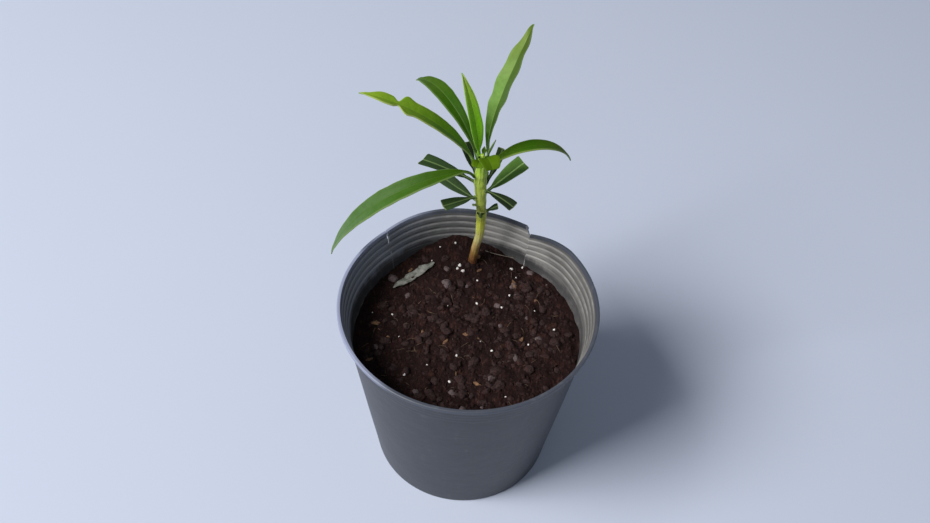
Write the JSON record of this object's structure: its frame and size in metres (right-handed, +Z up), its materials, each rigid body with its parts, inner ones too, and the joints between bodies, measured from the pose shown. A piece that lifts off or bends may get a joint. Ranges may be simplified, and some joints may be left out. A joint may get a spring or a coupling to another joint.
{
  "type": "potted oleander",
  "caption": "Young oleander rooted from a trimmed cutting, with long narrow leaves in whorls on one upright stem, standing in a round ribbed plastic nursery pot that is filled with potting mix.",
  "frame": {"origin": "middle of the flat underside of the pot", "axes": "+Z up along the pot's axis, -Y towards the front, +X to the right seen from the front"},
  "size_m": [0.1947, 0.2207, 0.3145],
  "materials": {
    "pot_plastic": "thin black nursery pot plastic, satin, scuffed",
    "potting_mix": "moist dark brown potting mix with white perlite and bits of bark",
    "green_stem": "yellow-green young bark, brown at the foot",
    "fresh_leaf": "leathery bright green leaf, soft sheen",
    "old_leaf": "leathery dark green leaf with a pale midrib, cut across",
    "withered_leaf": "dry, pale grey-green and papery"
  },
  "bodies": {
    "root": {"pot": "pot_plastic", "soil": "potting_mix", "stem": "green_stem", "leaf_bud_side": "fresh_leaf", "leaf_young": "fresh_leaf", "leaf_tall": "fresh_leaf", "leaf_front_left": "fresh_leaf", "leaf_front_right": "fresh_leaf", "leaf_pinched": "fresh_leaf", "leaf_arched_left": "fresh_leaf", "leaf_arched_right": "fresh_leaf", "leaf_long_low": "fresh_leaf", "cut_leaf_back_left": "old_leaf", "cut_leaf_back_right": "old_leaf", "cut_leaf_left_upper": "old_leaf", "cut_leaf_right_upper": "old_leaf", "cut_leaf_right_lower": "old_leaf", "cut_leaf_left_middle": "old_leaf", "cut_leaf_left_lower": "old_leaf", "cut_leaf_back": "old_leaf", "stub_right": "old_leaf", "stub_front": "old_leaf", "stub_left": "old_leaf", "dry_leaf": "withered_leaf"}
  },
  "joints": []
}
